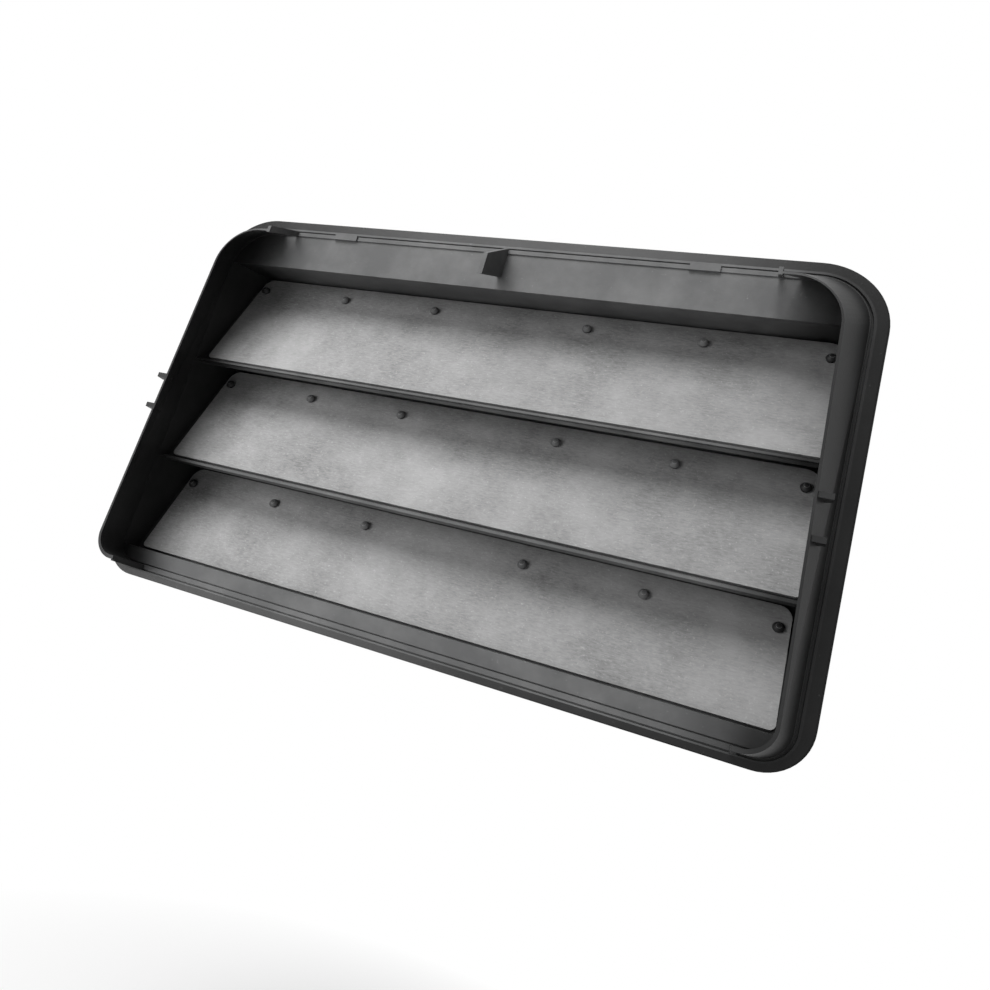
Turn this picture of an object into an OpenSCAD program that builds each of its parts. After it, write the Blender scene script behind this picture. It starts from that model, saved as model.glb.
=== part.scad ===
// Air outlet grille of a vehicle cabin. Millimetres.
// X runs along the grille, Z is up, the flap side faces -Y. The origin is the middle of the whole part.
// The modules are drawn with the sealing plane at Y = 0, and place() moves them.

/* [Overall] */
// length over the seal
overall_width = 221; // [205:0.1:240]
// height over the seal
overall_height = 134.4; // [124:0.1:146]
// depth of the body behind the sealing plane
body_depth = 19.8; // [19.4:0.1:28]
// wall of the moulding
wall_t = 1.4; // [1:0.1:2]

/* [End walls] */
// how far the tall end walls stand in front of the sealing plane
end_wall_h = 15.6; // [10:0.1:18]
// thickness of their front lip
lip_t = 1.2; // [0.9:0.1:1.6]
// lean of the side of an end wall at the top
lean_high = 7.1; // [5:0.1:8]
// lean of the side of an end wall at the bottom
lean_low = 4.2; // [3:0.1:6]
// lean of its top
lean_top = 7.9; // [6:0.1:9]
// distance from the seal edge to the louvre block at the sides
side_inset = 6.1; // [5.9:0.1:8]
// distance from the seal edge to the louvre block at the top
top_inset = 5.7; // [5.4:0.1:7]
// inner corner radius at the top
corner_top_r = 13; // [10:0.1:15]
// inner corner radius at the bottom
corner_low_r = 6.5; // [5:0.1:8]
// where the end walls stop along the top, from the seal edge
end_top_reach = 29.9; // [27:0.1:36]
// where the end walls stop along the bottom, from the seal edge
end_low_reach = 18; // [16.5:0.1:24]
// thickness of the small ribs in the channel
rib_t = 1.1; // [0.8:0.1:1.8]

/* [Louvres] */
// front face of the ledges and the sill, in front of the sealing plane
face_h = 1.9; // [1.7:0.1:2.6]
// depth of the flap front at its studs, behind the sealing plane
flap_depth = 12.7; // [11.5:0.1:13]
// height of the front edge of a ledge
ledge_edge_t = 0.7; // [0.5:0.1:1.1]
// how much higher the bottom ledge sits than an even pitch
ledge_lift = 2.2; // [0:0.1:3]
// rise of a ledge's underside toward the back
ledge_rise = 5.2; // [4.6:0.1:5.6]
// thickness of the vertical ribs behind the flaps
back_rib_t = 1.4; // [1:0.1:2.4]
// seat under each flap's lower edge
seat_w = 4.2; // [3:0.1:6]
// relief behind the flap's upper margin, degrees
relief_angle = 26; // [24:1:30]

/* [Flaps] */
// rubber thickness
flap_t = 0.9; // [0.7:0.1:1.1]
// margin above the studs
flap_margin = 6.9; // [5:0.1:7]
// gap between the flap and its seat
flap_gap = 0.1; // [0.1:0.05:0.2]
// gap between a flap's lower edge and the ledge under it
flap_low_gap = 1.45; // [1.4:0.05:1.9]
// gap between the bottom flap and the sill
sill_gap = 0.75; // [0.6:0.05:1.2]
// distance from a flap's end to the end wall
flap_side_gap = 2.3; // [1.5:0.1:3]
// lower corner radius of a flap
flap_corner_r = 1.6; // [1:0.1:3]
// upper corner radius of a flap
flap_top_r = 3.6; // [2:0.1:4]

/* [Studs] */
// shaft radius
stud_r = 0.95; // [0.8:0.05:1]
// head radius
stud_head_r = 1.6; // [1.45:0.05:1.8]
// height of the domed head
stud_head_h = 1.15; // [0.9:0.05:1.5]
// clearance between the flap and the head
stud_head_gap = 0.75; // [0.7:0.05:1]
// hole radius in the flap
flap_hole_r = 1.3; // [1.3:0.05:1.4]

/* [Seal] */
// width of the soft lip outside the flange
seal_w = 3.2; // [2.6:0.1:3.4]
// how far the seal covers the flange rim
seal_grip = 1.3; // [0.6:0.1:1.6]
// height of the seal in front of the sealing plane
seal_h = 2.4; // [1.9:0.1:3]

/* [Colours] */
// moulding
body_colour = "#2b2c2e";
// soft seal
seal_colour = "#1f2022";
// flap rubber
flap_colour = "#86888a";

/* [Hidden] */
$fn = 64;

half_w = overall_width / 2;
half_h = overall_height / 2;
low_share = 0.62;
flange_t = 1.5;
flange_w = seal_w - seal_grip;
block_x = half_w - side_inset;
block_top = half_h - top_inset;
block_low = -half_h + 4.3;
lip_x_high = block_x - lean_high;
lip_x_low = block_x - lean_low;
lip_top = block_top - lean_top;
lip_low = block_low + 0.6;
sill_low = -half_h + 4.7;
sill_top = sill_low + 4.5;
row_pitch = (overall_height - 17.7) / 3;
stud_z0 = half_h - 21.15;
ledge_low0 = stud_z0 + 2.95;
lifts = [0, 0, ledge_lift];
flap_front_low = -face_h + 2.1;
drop_z = stud_z0 - ledge_z(1) - ledge_edge_t - flap_low_gap;
tilt = atan((flap_depth - flap_front_low) / drop_z);
flap_len = drop_z / cos(tilt);
flap_len_mid = (row_z(1) - ledge_z(2) - ledge_edge_t - flap_low_gap) / cos(tilt);
flap_len_low = (row_z(2) - sill_top - sill_gap) / cos(tilt);
flap_half = block_x - flap_side_gap;
seat_y = flap_t + flap_gap;
seat_c = -0.35;
stud_out_x = half_w - 11.5;
stud_xs = [-stud_out_x, -0.641 * stud_out_x, -0.275 * stud_out_x, 0.275 * stud_out_x, 0.641 * stud_out_x, stud_out_x];
rib_xs = [-0.641 * stud_out_x, -0.275 * stud_out_x, 0.275 * stud_out_x, 0.641 * stud_out_x];
relief_y = flap_depth + 5.4;
relief_y2 = relief_y + wall_t;

function row_z(i) = stud_z0 - i * row_pitch;
function ledge_z(i) = ledge_low0 - i * row_pitch + lifts[i];
function fy(y, z) = flap_depth + y * cos(tilt) + z * sin(tilt);
function fz(y, z) = -y * sin(tilt) + z * cos(tilt);
function relief_z(y) = fz(seat_y, seat_c) + (y - fy(seat_y, seat_c)) / tan(tilt + relief_angle);

// from the sealing plane to the middle of the part
module place() {
  translate([0, -(body_depth - end_wall_h) / 2, 0]) children();
}

// a slab with the given outline between two depths
module slab(y0, y1) {
  translate([0, y1, 0]) rotate([90, 0, 0]) linear_extrude(y1 - y0) children();
}

// a bar with the given side profile, centred on x0
module bar(x0, w) {
  translate([x0 - w / 2, 0, 0]) rotate([90, 0, 90]) linear_extrude(w) children();
}

// rounded outline with its own radius at the top and the bottom
module outline(xh, zt, zb, rt, rb) {
  for (s = [-1, 1]) {
    translate([s * (xh - rt), zt - rt]) circle(rt);
    translate([s * (xh - rb), zb + rb]) circle(rb);
  }
  polygon([[-xh, zb + rb], [xh, zb + rb], [xh, zt - rt], [-xh, zt - rt]]);
  translate([-(xh - rt), zt - rt - 1]) square([2 * (xh - rt), rt + 1]);
  translate([-(xh - rb), zb]) square([2 * (xh - rb), rb + 1]);
}

// outline of the louvre block, grown by a wall
module wall_outline(grow) {
  outline(block_x + grow, block_top + grow, block_low - grow, corner_top_r + grow, corner_low_r + grow);
}

// the four corners of the end walls at one depth
module posts(y, h, xh, xl, zt, zb, grow) {
  for (s = [-1, 1]) {
    translate([s * (xh - corner_top_r), y + h, zt - corner_top_r]) rotate([90, 0, 0]) cylinder(r = corner_top_r + grow, h = h);
    translate([s * (xl - corner_low_r), y + h, zb + corner_low_r]) rotate([90, 0, 0]) cylinder(r = corner_low_r + grow, h = h);
  }
}

module flange_outline(inset) {
  outline(half_w - inset, half_h - inset, -half_h + inset * low_share, corner_top_r + side_inset - inset, corner_low_r + side_inset - inset);
}

// side profile of one louvre: ledge, relief and seat, in the row's own height
module louvre_profile(low, lift) {
  z0 = ledge_low0 - stud_z0 + lift;
  seat_end = low;
  polygon([
    [-face_h, z0], [relief_y2, z0 + ledge_rise], [relief_y2, z0 + ledge_rise + wall_t],
    [4, z0 + ledge_rise * (4 + face_h) / (relief_y2 + face_h) + 0.65], [-face_h, z0 + ledge_edge_t]
  ]);
  polygon([
    [relief_y, z0 + ledge_rise + wall_t - 0.2], [relief_y, relief_z(relief_y)],
    [fy(seat_y, seat_c), fz(seat_y, seat_c)], [fy(seat_y, seat_end), fz(seat_y, seat_end)],
    [fy(seat_y + wall_t, seat_end), fz(seat_y + wall_t, seat_end)], [fy(seat_y + wall_t, -0.8), fz(seat_y + wall_t, -0.8)],
    [relief_y2, relief_z(relief_y) - 0.9], [relief_y2, z0 + ledge_rise + wall_t - 0.2]
  ]);
}

// side profile of a full-depth rib behind one flap
module rib_profile(low, foot, lift) {
  z0 = ledge_low0 - stud_z0 + lift;
  polygon([
    [relief_y + 0.4, z0 + ledge_rise + 0.6], [relief_y + 0.4, relief_z(relief_y) - 0.5],
    [fy(seat_y + 0.5, seat_c), fz(seat_y + 0.5, seat_c)], [fy(seat_y + 0.5, low), fz(seat_y + 0.5, low)],
    [body_depth, foot], [body_depth, z0 + ledge_rise + 0.6]
  ]);
}

module stud() {
  rotate([90, 0, 0]) {
    translate([0, 0, -seat_y - 1.1]) cylinder(r = stud_r, h = seat_y + 1.1 + stud_head_gap + 0.3);
    translate([0, 0, stud_head_gap]) rotate_extrude() intersection() {
      r = (stud_head_r * stud_head_r + stud_head_h * stud_head_h) / (2 * stud_head_h);
      translate([0, stud_head_h - r]) circle(r);
      square([stud_head_r + 1, stud_head_h + 1]);
    }
  }
}

// windows through the seat behind one flap
module windows(low) {
  edges = [-flap_half + 4, rib_xs[0], rib_xs[1], rib_xs[2], rib_xs[3], flap_half - 4];
  for (k = [0:4]) {
    x0 = edges[k] + (k == 0 ? 0 : back_rib_t / 2 + 0.4);
    x1 = edges[k + 1] - (k == 4 ? 0 : back_rib_t / 2 + 0.4);
    translate([x0, 0, -low + seat_w]) cube([x1 - x0, seat_y + wall_t + 0.6, low - seat_w - 3.2]);
  }
}

module louvres() {
  lows = [flap_len + flap_low_gap, flap_len_mid + flap_low_gap, flap_len_low + sill_gap];
  foot = ledge_rise + wall_t / 2;
  feet = [ledge_z(1) + foot - row_z(0), ledge_z(2) + foot - row_z(1), sill_top - wall_t / 2 - row_z(2)];
  difference() {
    intersection() {
      union() {
        for (i = [0:2]) translate([0, 0, row_z(i)]) {
          bar(0, 2 * (block_x + wall_t)) louvre_profile(-lows[i], lifts[i]);
          for (x = rib_xs) bar(x, back_rib_t) rib_profile(-lows[i], feet[i], lifts[i]);
        }
        bar(0, 2 * (block_x + wall_t)) polygon([
          [-face_h, block_low - 0.2], [-face_h, sill_top], [fy(seat_y + wall_t, -flap_len_low - 1.2), sill_top],
          [fy(seat_y + wall_t, -flap_len_low - 1.2), sill_top - wall_t], [-face_h + wall_t, sill_top - wall_t], [-face_h + wall_t, block_low - 0.2]
        ]);
        bar(0, 2 * (block_x + wall_t)) polygon([
          [-face_h, ledge_low0], [-face_h, block_top + 1], [-face_h + wall_t, block_top + 1], [-face_h + wall_t, ledge_low0 + 0.2]
        ]);
      }
      slab(-20, body_depth) wall_outline(wall_t / 2);
    }
    for (i = [0:2]) translate([0, flap_depth, row_z(i)]) rotate([-tilt, 0, 0]) windows(lows[i]);
    translate([-block_x + 2, -face_h - 2, block_low]) cube([2 * block_x - 4, 2.9, sill_low - block_low]);
  }
}

// walls of the body and the leaning end walls
module shell() {
  difference() {
    slab(-face_h - 0.4, body_depth) wall_outline(wall_t);
    slab(-face_h - 2, body_depth + 1) wall_outline(0);
  }
  difference() {
    hull() {
      posts(-end_wall_h, 0.6, lip_x_high, lip_x_low, lip_top, lip_low, lip_t);
      posts(-face_h - 0.2, 0.6, block_x, block_x, block_top, block_low, wall_t - 0.15);
    }
    hull() {
      posts(-end_wall_h - 1, 1, lip_x_high, lip_x_low, lip_top, lip_low, 0);
      posts(-face_h - 0.2, 1.5, block_x, block_x, block_top, block_low, 0.15);
    }
    end_x = half_w - end_top_reach;
    low_x = half_w - end_low_reach;
    translate([0, 0, 0]) linear_extrude(half_h) polygon([
      [-end_x, -end_wall_h - 1], [end_x, -end_wall_h - 1], [end_x + 6, -face_h - 0.3], [-end_x - 6, -face_h - 0.3]
    ]);
    translate([0, 0, -half_h]) linear_extrude(half_h) polygon([
      [-low_x, -end_wall_h - 1], [low_x, -end_wall_h - 1], [low_x, -face_h - 0.3], [-low_x, -face_h - 0.3]
    ]);
  }
}

module flange() {
  difference() {
    slab(-flange_t, 0) flange_outline(flange_w);
    slab(-flange_t - 1, 1) wall_outline(wall_t / 2);
  }
  difference() {
    slab(-flange_t - 0.9, -flange_t + 0.3) flange_outline(seal_w);
    slab(-flange_t - 2, 1) flange_outline(seal_w + 0.7);
  }
}

// ribs across the channel at the ends of the tall walls and beside the bottom flap
module channel_ribs() {
  end_x = half_w - end_top_reach;
  low_x = half_w - end_low_reach;
  line_z = half_h - seal_w - 0.5;
  low_z = -half_h + (seal_w + 0.7) * low_share;
  for (s = [-1, 1]) {
    bar(s * (end_x + rib_t / 2 + 0.2), rib_t) polygon([
      [-end_wall_h, lip_top + 0.2], [-end_wall_h, lip_top + lip_t + 1.3], [-flange_t - 0.5, line_z], [-flange_t + 0.3, line_z], [-flange_t + 0.3, block_top + 0.4]
    ]);
    bar(s * (low_x + rib_t / 2 + 0.1), rib_t) polygon([
      [-end_wall_h + 0.8, lip_low - 0.2], [-end_wall_h + 0.8, lip_low - lip_t - 0.5], [-flange_t + 0.3, low_z], [-flange_t + 0.3, block_low - 0.4]
    ]);
    lip_mid = (lip_x_high + lip_x_low) / 2;
    for (z = [-2.8, -13.5]) translate([0, 0, z]) linear_extrude(rib_t + 0.4) polygon([
      [s * (lip_mid + lip_t - 0.1), -end_wall_h + 0.4], [s * (lip_mid + 4.8), -end_wall_h + 0.4],
      [s * (lip_mid + 5.1), -end_wall_h + 3.1], [s * (lip_mid + 2.4), -end_wall_h + 4.6]
    ]);
  }
}

// strip and tabs over the band, gusset in the middle
module top_details() {
  for (s = [-1, 1]) translate([s * 60.7 - 4.4, -face_h - 0.9, block_top - 0.3]) cube([8.8, 2, 2]);
  bar(-1, wall_t) polygon([
    [-end_wall_h, block_top - 8.6], [-end_wall_h, block_top - 15.6], [-face_h, block_top - 8.2],
    [-face_h + 0.5, block_top - 8.2], [-face_h + 0.5, block_top], [-flange_t + 0.3, block_top + 2], [-flange_t - 0.6, block_top + 2]
  ]);
}

module frame_part() {
  color(body_colour) union() {
    shell();
    louvres();
    flange();
    channel_ribs();
    top_details();
    for (i = [0:2], x = stud_xs) translate([x, flap_depth, row_z(i)]) rotate([-tilt, 0, 0]) stud();
  }
}

module seal_part() {
  color(seal_colour) difference() {
    union() {
      slab(-seal_h + 0.6, 0) flange_outline(0);
      slab(-seal_h, 0) flange_outline(0.6);
    }
    slab(-seal_h - 1, 1) flange_outline(seal_w);
    slab(-flange_t, 1) flange_outline(flange_w);
  }
}

module flap(length) {
  color(flap_colour) rotate([-tilt, 0, 0]) difference() {
    slab(0, flap_t) outline(flap_half, flap_margin, -length, flap_top_r, flap_corner_r);
    for (x = stud_xs) translate([x, -1, 0]) rotate([-90, 0, 0]) cylinder(r = flap_hole_r, h = flap_t + 2);
  }
}

module frame() frame_part();
module seal() seal_part();
module flap_top() translate([0, flap_depth, row_z(0)]) flap(flap_len);
module flap_middle() translate([0, flap_depth, row_z(1)]) flap(flap_len_mid);
module flap_bottom() translate([0, flap_depth, row_z(2)]) flap(flap_len_low);

place() frame();
place() seal();
place() flap_top();
place() flap_middle();
place() flap_bottom();
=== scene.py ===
"""Looks of the air outlet grille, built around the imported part."""
import math
import random

import bmesh
import bpy
from mathutils import Matrix, Vector, noise


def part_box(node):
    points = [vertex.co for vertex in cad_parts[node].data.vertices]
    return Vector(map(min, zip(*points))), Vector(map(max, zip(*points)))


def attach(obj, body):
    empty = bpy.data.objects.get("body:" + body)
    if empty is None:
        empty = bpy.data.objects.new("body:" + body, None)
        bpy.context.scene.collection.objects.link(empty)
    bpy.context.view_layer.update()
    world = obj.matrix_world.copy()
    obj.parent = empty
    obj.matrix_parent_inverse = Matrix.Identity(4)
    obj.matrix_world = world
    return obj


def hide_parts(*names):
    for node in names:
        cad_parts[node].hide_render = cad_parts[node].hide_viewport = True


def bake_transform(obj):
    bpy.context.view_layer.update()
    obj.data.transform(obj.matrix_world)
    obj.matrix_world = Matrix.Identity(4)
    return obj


MM = 0.001
FLAPS = ("flap_top", "flap_middle", "flap_bottom")

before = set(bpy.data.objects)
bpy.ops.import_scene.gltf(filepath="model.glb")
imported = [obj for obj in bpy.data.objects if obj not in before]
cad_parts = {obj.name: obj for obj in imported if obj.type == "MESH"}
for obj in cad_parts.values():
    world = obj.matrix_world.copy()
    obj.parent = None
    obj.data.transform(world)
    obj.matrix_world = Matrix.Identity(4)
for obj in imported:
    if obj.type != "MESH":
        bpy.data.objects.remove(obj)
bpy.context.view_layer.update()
scene = bpy.context.scene


# ---------- materials ----------

def tree_of(name):
    """A new material with its node tree, its surface shader and a helper that adds nodes."""
    mat = bpy.data.materials.new(name)
    mat.use_nodes = True
    tree = mat.node_tree
    shader = tree.nodes["Principled BSDF"]

    def add(kind, **values):
        node = tree.nodes.new(kind)
        for key, value in values.items():
            if key.startswith("in_"):
                node.inputs[key[3:].replace("_", " ")].default_value = value
            else:
                setattr(node, key, value)
        return node

    return mat, tree, shader, add


def ramp(add, stops):
    """A colour ramp with the given grey stops."""
    node = add("ShaderNodeValToRGB")
    elements = node.color_ramp.elements
    while len(elements) < len(stops):
        elements.new(0.5)
    for element, (place, grey) in zip(elements, stops):
        element.position = place
        element.color = (grey, grey, grey, 1)
    return node


def mapped(add, tree, scale):
    """Object coordinates in metres, scaled."""
    coords = add("ShaderNodeTexCoord")
    mapping = add("ShaderNodeMapping")
    mapping.inputs["Scale"].default_value = scale
    tree.links.new(coords.outputs["Object"], mapping.inputs["Vector"])
    return mapping.outputs["Vector"]


def mixed(add, tree, factor, a, b):
    """Mix of two colours."""
    node = add("ShaderNodeMix", data_type="RGBA")
    for socket, value in ((node.inputs[0], factor), (node.inputs[6], a), (node.inputs[7], b)):
        if isinstance(value, (float, int, tuple)):
            socket.default_value = value
        else:
            tree.links.new(value, socket)
    return node.outputs[2]


def grey(value, tint=0.0):
    """A grey with a slight cool tint."""
    return (value, value * (1 + tint), value * (1 + 2 * tint), 1)


def moulded_material(name, base, rough, dust, fine, film_grey, gloss, painted_end_shade_level):
    """Satin moulded plastic with a light film of dust, and painted shade that darkens it towards both
    end walls.
    """
    mat, tree, shader, add = tree_of(name)
    vector = mapped(add, tree, (1, 1, 1))
    cloud = add("ShaderNodeTexNoise", in_Scale=55.0, in_Detail=5.0, in_Roughness=0.6)
    tree.links.new(vector, cloud.inputs["Vector"])
    film = ramp(add, ((0.42, 0.0), (0.75, dust)))
    tree.links.new(cloud.outputs["Fac"], film.inputs["Fac"])
    specks = add("ShaderNodeTexNoise", in_Scale=900.0, in_Detail=2.0)
    tree.links.new(vector, specks.inputs["Vector"])
    points = ramp(add, ((0.70, 0.0), (0.80, 0.18)))
    tree.links.new(specks.outputs["Fac"], points.inputs["Fac"])
    with_film = mixed(add, tree, film.outputs["Color"], grey(base, 0.01), grey(film_grey))
    colour = mixed(add, tree, points.outputs["Color"], with_film, grey(0.30))
    # painted shade: the colour darkens towards both end walls, standing in for the shade the lamps
    # leave on them
    split = add("ShaderNodeSeparateXYZ")
    tree.links.new(vector, split.inputs[0])
    side = add("ShaderNodeMath", operation="ABSOLUTE")
    tree.links.new(split.outputs["X"], side.inputs[0])
    painted_end_shade = add("ShaderNodeMapRange")
    painted_end_shade.inputs["From Min"].default_value = 0.080
    painted_end_shade.inputs["From Max"].default_value = 0.097
    painted_end_shade.inputs["To Min"].default_value = 1.0
    painted_end_shade.inputs["To Max"].default_value = painted_end_shade_level
    tree.links.new(side.outputs[0], painted_end_shade.inputs["Value"])
    shade = add("ShaderNodeVectorMath", operation="SCALE")
    tree.links.new(colour, shade.inputs[0])
    tree.links.new(painted_end_shade.outputs["Result"], shade.inputs["Scale"])
    tree.links.new(shade.outputs["Vector"], shader.inputs["Base Color"])
    shader.inputs["Roughness"].default_value = rough
    shader.inputs["Specular IOR Level"].default_value = gloss
    grain = add("ShaderNodeTexNoise", in_Scale=fine, in_Detail=3.0)
    tree.links.new(vector, grain.inputs["Vector"])
    bump = add("ShaderNodeBump", in_Strength=0.06, in_Distance=0.0003)
    tree.links.new(grain.outputs["Fac"], bump.inputs["Height"])
    tree.links.new(bump.outputs["Normal"], shader.inputs["Normal"])
    return mat


def flap_material():
    """Grey sheet rubber: fine grain along the sheet, whitish dust, specks and faint scratches, with
    painted light that makes it lighter at the left end and darker at the right end.
    """
    mat, tree, shader, add = tree_of("flap_rubber_dusty")
    along = mapped(add, tree, (0.22, 1, 1))
    plain = mapped(add, tree, (1, 1, 1))
    grain = add("ShaderNodeTexNoise", in_Scale=2300.0, in_Detail=5.0, in_Roughness=0.75)
    tree.links.new(along, grain.inputs["Vector"])
    grain_ramp = ramp(add, ((0.30, 0.060), (0.70, 0.180)))
    tree.links.new(grain.outputs["Fac"], grain_ramp.inputs["Fac"])
    cloud = add("ShaderNodeTexNoise", in_Scale=38.0, in_Detail=6.0, in_Roughness=0.65)
    tree.links.new(plain, cloud.inputs["Vector"])
    cloud_ramp = ramp(add, ((0.36, 0.0), (0.68, 0.6)))
    tree.links.new(cloud.outputs["Fac"], cloud_ramp.inputs["Fac"])
    dusted = mixed(add, tree, cloud_ramp.outputs["Color"], grain_ramp.outputs["Color"], grey(0.27))
    specks = add("ShaderNodeTexNoise", in_Scale=1500.0, in_Detail=3.0, in_Roughness=0.6)
    tree.links.new(plain, specks.inputs["Vector"])
    speck_ramp = ramp(add, ((0.60, 0.0), (0.76, 0.45)))
    tree.links.new(specks.outputs["Fac"], speck_ramp.inputs["Fac"])
    speckled = mixed(add, tree, speck_ramp.outputs["Color"], dusted, grey(0.38))
    # painted light: the colour is scaled from lighter at the left end to darker at the right end,
    # standing in for how the lamps fall across the flaps
    split = add("ShaderNodeSeparateXYZ")
    tree.links.new(plain, split.inputs[0])
    painted_light_across = add("ShaderNodeMapRange")
    painted_light_across.inputs["From Min"].default_value = -0.10
    painted_light_across.inputs["From Max"].default_value = 0.11
    painted_light_across.inputs["To Min"].default_value = 1.08
    painted_light_across.inputs["To Max"].default_value = 0.74
    tree.links.new(split.outputs["X"], painted_light_across.inputs["Value"])
    shade = add("ShaderNodeVectorMath", operation="SCALE")
    tree.links.new(speckled, shade.inputs[0])
    tree.links.new(painted_light_across.outputs["Result"], shade.inputs["Scale"])
    tree.links.new(shade.outputs["Vector"], shader.inputs["Base Color"])
    shader.inputs["Roughness"].default_value = 0.62
    bump = add("ShaderNodeBump", in_Strength=0.12, in_Distance=0.0002)
    tree.links.new(grain.outputs["Fac"], bump.inputs["Height"])
    tree.links.new(bump.outputs["Normal"], shader.inputs["Normal"])
    return mat


def plain_material(name, value, rough):
    """One flat grey."""
    mat, tree, shader, add = tree_of(name)
    shader.inputs["Base Color"].default_value = grey(value)
    shader.inputs["Roughness"].default_value = rough
    return mat


body_mat = moulded_material("moulding_black", 0.062, 0.42, 0.5, 1400.0, 0.14, 0.12, 0.22)
lip_mat = moulded_material("seal_soft_black", 0.010, 0.30, 0.3, 900.0, 0.04, 0.16, 0.5)
# stud caps: a lighter grey for dust together with a painted highlight on the dome tops
stud_cap_dust_and_highlight_mat = moulded_material("stud_dust_and_painted_highlight", 0.15, 0.4, 0.5, 1400.0, 0.30, 0.4, 1.0)
flap_mat = flap_material()


def give(obj, mat):
    """The material on every slot of a node, set on the object."""
    if not obj.material_slots:
        obj.data.materials.append(None)
    for slot in obj.material_slots:
        slot.link = "OBJECT"
        slot.material = mat


for name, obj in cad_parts.items():
    give(obj, flap_mat if name in FLAPS else lip_mat if name == "seal" else body_mat)

# ---------- flaps ----------

random.seed(7)


def smoothstep(a, b, x):
    t = min(1, max(0, (x - a) / (b - a)))
    return t * t * (3 - 2 * t)


def flap_piece(node, number):
    """The rubber sheet as a fine mesh, in place of the imported one."""
    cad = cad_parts[node]
    mesh = cad.data.copy()
    obj = bpy.data.objects.new("sheet_" + node, mesh)
    scene.collection.objects.link(obj)
    obj.matrix_world = cad.matrix_world.copy()
    bpy.context.view_layer.update()
    mesh.transform(obj.matrix_world)
    obj.matrix_world = Matrix.Identity(4)
    bm = bmesh.new()
    bm.from_mesh(mesh)
    bmesh.ops.remove_doubles(bm, verts=bm.verts, dist=1e-6)
    lows = [v.co.z for v in bm.verts]
    low, high = min(lows), max(lows)
    for share in (0.15, 0.3, 0.45, 0.6, 0.66, 0.7, 0.73, 0.76, 0.79):
        z = low + (high - low) * share
        geom = bm.verts[:] + bm.edges[:] + bm.faces[:]
        bmesh.ops.bisect_plane(bm, geom=geom, plane_co=(0, 0, z), plane_no=(0, 0, 1))
    half = max(v.co.x for v in bm.verts)
    for k in range(1, 16):
        x = -half + 2 * half * k / 16
        geom = bm.verts[:] + bm.edges[:] + bm.faces[:]
        bmesh.ops.bisect_plane(bm, geom=geom, plane_co=(x, 0, 0), plane_no=(1, 0, 0))
    bm.to_mesh(mesh)
    bm.free()
    mesh.update()
    for poly in mesh.polygons:
        poly.use_smooth = False
    give(obj, flap_mat)
    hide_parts(node)
    joint_z = high - (high - low) * 0.21
    cad_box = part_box(node)
    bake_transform(obj)
    return obj


for number, node in enumerate(FLAPS):
    flap_piece(node, number)

# ---------- stud caps -----------------------------

DEPTH = 12.7 - 2.1
TILT = math.radians(20.2955)
ROWS = (46.05, 7.15, -31.75)
STUDS = (-99.0, -63.459, -27.225, 27.225, 63.459, 99.0)


def cap_points(x, z, ring, radius, height):
    """One ring of a stud's dome, in the frame."""
    points = []
    for k in range(20):
        a = 2 * math.pi * k / 20
        lx = radius * math.cos(a)
        lz = radius * math.sin(a)
        ly = -0.75 - height
        y = DEPTH + ly * math.cos(TILT) + lz * math.sin(TILT)
        up = -ly * math.sin(TILT) + lz * math.cos(TILT)
        points.append(((x + lx) * MM, y * MM, (z + up) * MM))
    return points


def stud_caps():
    """Thin lighter skins over the 18 stud heads, for dust and a painted highlight on the domes."""
    bm = bmesh.new()
    rise = 1.17
    wide = 1.5
    big = (wide * wide + rise * rise) / (2 * rise)
    for z in ROWS:
        for x in STUDS:
            rings = []
            for step in range(6):
                height = rise * step / 6 + 0.02
                radius = math.sqrt(max(0.01, big * big - (height + big - rise) ** 2))
                rings.append([bm.verts.new(p) for p in cap_points(x, z, step, radius, height)])
            for low_ring, high_ring in zip(rings, rings[1:]):
                for k in range(20):
                    n = (k + 1) % 20
                    bm.faces.new((low_ring[k], low_ring[n], high_ring[n], high_ring[k]))
            bm.faces.new(rings[-1])
    bmesh.ops.recalc_face_normals(bm, faces=bm.faces)
    mesh = bpy.data.meshes.new("stud_caps")
    bm.to_mesh(mesh)
    bm.free()
    for poly in mesh.polygons:
        poly.use_smooth = True
    mesh.materials.append(stud_cap_dust_and_highlight_mat)
    obj = bpy.data.objects.new("stud_caps", mesh)
    scene.collection.objects.link(obj)
    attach(obj, "housing")


stud_caps()

# ---------- stage, light and camera ----------

world = bpy.data.worlds.new("studio")
world.use_nodes = True
scene.world = world
wt = world.node_tree
wt.nodes.clear()
output = wt.nodes.new("ShaderNodeOutputWorld")
soft = wt.nodes.new("ShaderNodeBackground")
soft.inputs["Color"].default_value = (1, 1, 1, 1)
soft.inputs["Strength"].default_value = 0.10
white = wt.nodes.new("ShaderNodeBackground")
white.inputs["Color"].default_value = (1, 1, 1, 1)
white.inputs["Strength"].default_value = 1.0


def seen_rays(nodes, links):
    """1 for camera, glossy and transmission rays."""
    path = nodes.new("ShaderNodeLightPath")
    value = path.outputs["Is Camera Ray"]
    for name in ("Is Glossy Ray", "Is Transmission Ray"):
        largest = nodes.new("ShaderNodeMath")
        largest.operation = "MAXIMUM"
        links.new(value, largest.inputs[0])
        links.new(path.outputs[name], largest.inputs[1])
        value = largest.outputs[0]
    return value


mix = wt.nodes.new("ShaderNodeMixShader")
wt.links.new(seen_rays(wt.nodes, wt.links), mix.inputs[0])
wt.links.new(soft.outputs[0], mix.inputs[1])
wt.links.new(white.outputs[0], mix.inputs[2])
wt.links.new(mix.outputs[0], output.inputs["Surface"])

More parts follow.
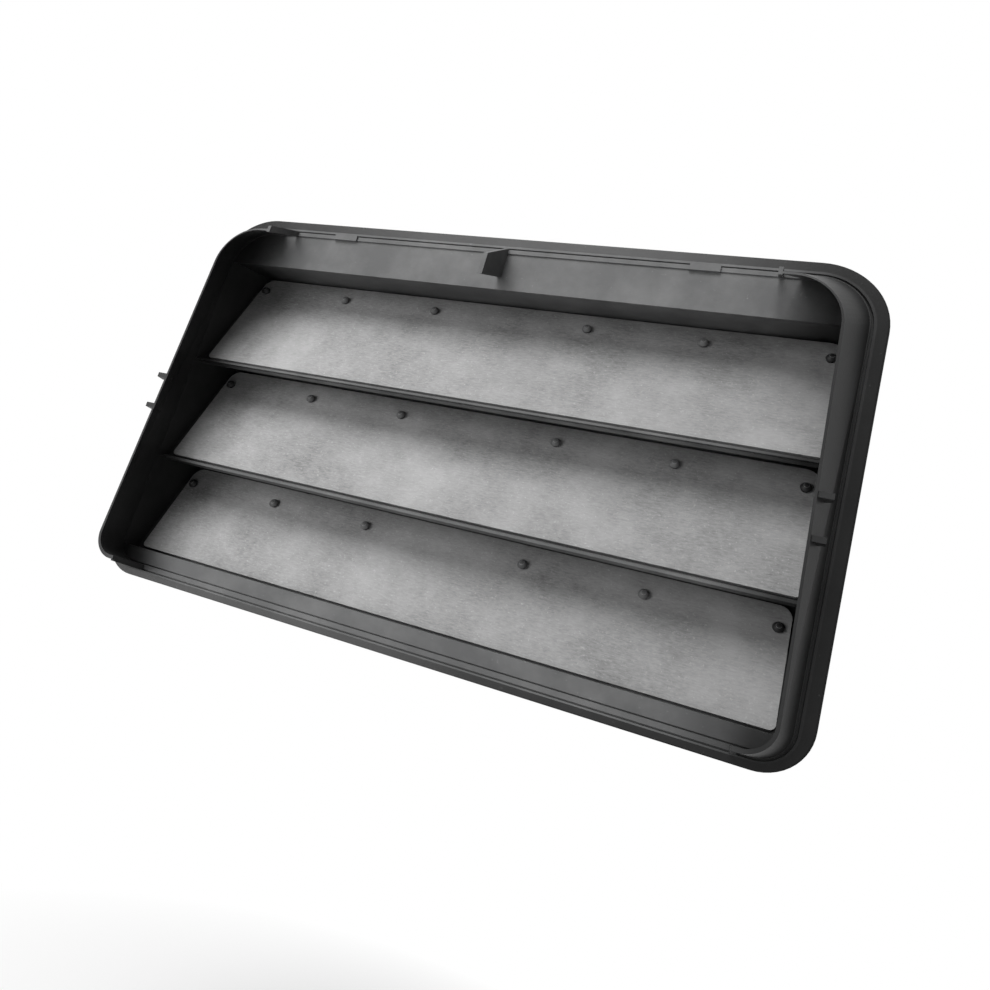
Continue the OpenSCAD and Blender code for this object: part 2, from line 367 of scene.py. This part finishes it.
floor_mat = bpy.data.materials.new("floor_pale")
floor_mat.use_nodes = True
ft = floor_mat.node_tree
floor_shader = ft.nodes["Principled BSDF"]
floor_shader.inputs["Base Color"].default_value = (0.9, 0.9, 0.9, 1)
floor_shader.inputs["Roughness"].default_value = 0.9
glow = ft.nodes.new("ShaderNodeEmission")
glow.inputs["Strength"].default_value = 1.0
floor_place = ft.nodes.new("ShaderNodeTexCoord")
floor_far = ft.nodes.new("ShaderNodeVectorMath")
floor_far.operation = "LENGTH"
ft.links.new(floor_place.outputs["Object"], floor_far.inputs[0])
floor_fade = ft.nodes.new("ShaderNodeMapRange")
floor_fade.inputs["From Min"].default_value = 0.20
floor_fade.inputs["From Max"].default_value = 0.34
ft.links.new(floor_far.outputs["Value"], floor_fade.inputs["Value"])
floor_share = ft.nodes.new("ShaderNodeMath")
floor_share.operation = "MULTIPLY"
ft.links.new(floor_fade.outputs["Result"], floor_share.inputs[0])
ft.links.new(seen_rays(ft.nodes, ft.links), floor_share.inputs[1])
floor_mix = ft.nodes.new("ShaderNodeMixShader")
ft.links.new(floor_share.outputs[0], floor_mix.inputs[0])
ft.links.new(floor_shader.outputs[0], floor_mix.inputs[1])
ft.links.new(glow.outputs[0], floor_mix.inputs[2])
ft.links.new(floor_mix.outputs[0], ft.nodes["Material Output"].inputs["Surface"])
bpy.ops.mesh.primitive_plane_add(size=6, location=(0, 0, -0.28))
floor = bpy.context.object
floor.name = "floor"
floor.data.materials.append(floor_mat)


def area(name, location, target, size, power):
    """A soft square lamp aimed at a point."""
    data = bpy.data.lights.new(name, "AREA")
    data.size = size
    data.energy = power
    obj = bpy.data.objects.new(name, data)
    scene.collection.objects.link(obj)
    obj.location = location
    direction = Vector(target) - Vector(location)
    obj.rotation_euler = direction.to_track_quat("-Z", "Y").to_euler()
    return obj


area("key", (-0.35, -0.75, 0.95), (0, 0, 0), 0.85, 25.0)
area("low", (-0.60, -0.85, -0.05), (0, 0, 0), 0.6, 8.0)

camera_data = bpy.data.cameras.new("camera")
camera_data.sensor_width = 36
camera_data.lens = 25.2427
camera_data.clip_start = 0.01
camera_data.clip_end = 30
camera = bpy.data.objects.new("camera", camera_data)
scene.collection.objects.link(camera)
camera.matrix_world = Matrix((
    (0.92037419, -0.19607625, 0.33832743, 0.085397),
    (0.28151295, -0.26827076, -0.92129325, -0.187565),
    (0.27140708, 0.94317809, -0.19171148, -0.053803),
    (0, 0, 0, 1),
))
scene.camera = camera
scene.view_settings.view_transform = "Standard"
